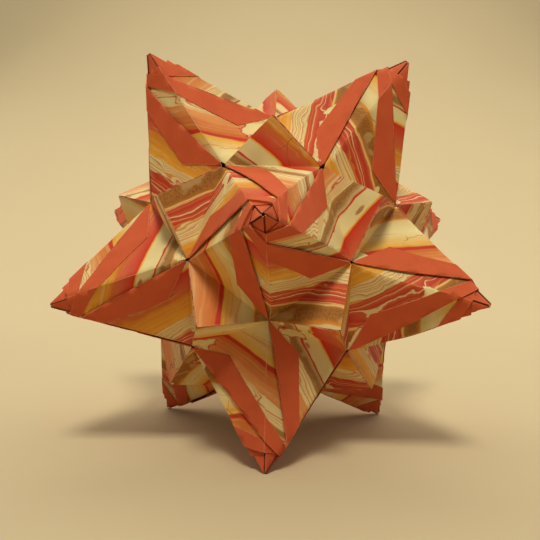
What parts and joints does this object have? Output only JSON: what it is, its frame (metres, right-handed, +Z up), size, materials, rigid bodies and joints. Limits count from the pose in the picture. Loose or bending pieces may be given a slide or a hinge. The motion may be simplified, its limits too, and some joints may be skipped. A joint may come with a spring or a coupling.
{
  "type": "kusudama paper ball",
  "caption": "Spiky ball of interlocked folded paper units, with marbled faces, square peaks between the spikes and red hems that wind up to each tip.",
  "frame": {"origin": "on the surface that the ball stands on, under its middle", "axes": "+Z up, along a threefold axis, with three spikes as feet; -Y towards the viewer, under the spike that faces the front; +X to the viewer's right"},
  "size_m": [0.1114, 0.1282, 0.1041],
  "materials": {
    "marbled_paper": "matte"
  },
  "bodies": {
    "root": {"unit_01": "marbled_paper", "unit_02": "marbled_paper", "unit_03": "marbled_paper", "unit_04": "marbled_paper", "unit_05": "marbled_paper", "unit_06": "marbled_paper", "unit_07": "marbled_paper", "unit_08": "marbled_paper", "unit_09": "marbled_paper", "unit_10": "marbled_paper", "unit_11": "marbled_paper", "unit_12": "marbled_paper", "unit_13": "marbled_paper", "unit_14": "marbled_paper", "unit_15": "marbled_paper", "unit_16": "marbled_paper", "unit_17": "marbled_paper", "unit_18": "marbled_paper", "unit_19": "marbled_paper", "unit_20": "marbled_paper", "unit_21": "marbled_paper", "unit_22": "marbled_paper", "unit_23": "marbled_paper", "unit_24": "marbled_paper", "unit_25": "marbled_paper", "unit_26": "marbled_paper", "unit_27": "marbled_paper", "unit_28": "marbled_paper", "unit_29": "marbled_paper", "unit_30": "marbled_paper"}
  },
  "joints": []
}
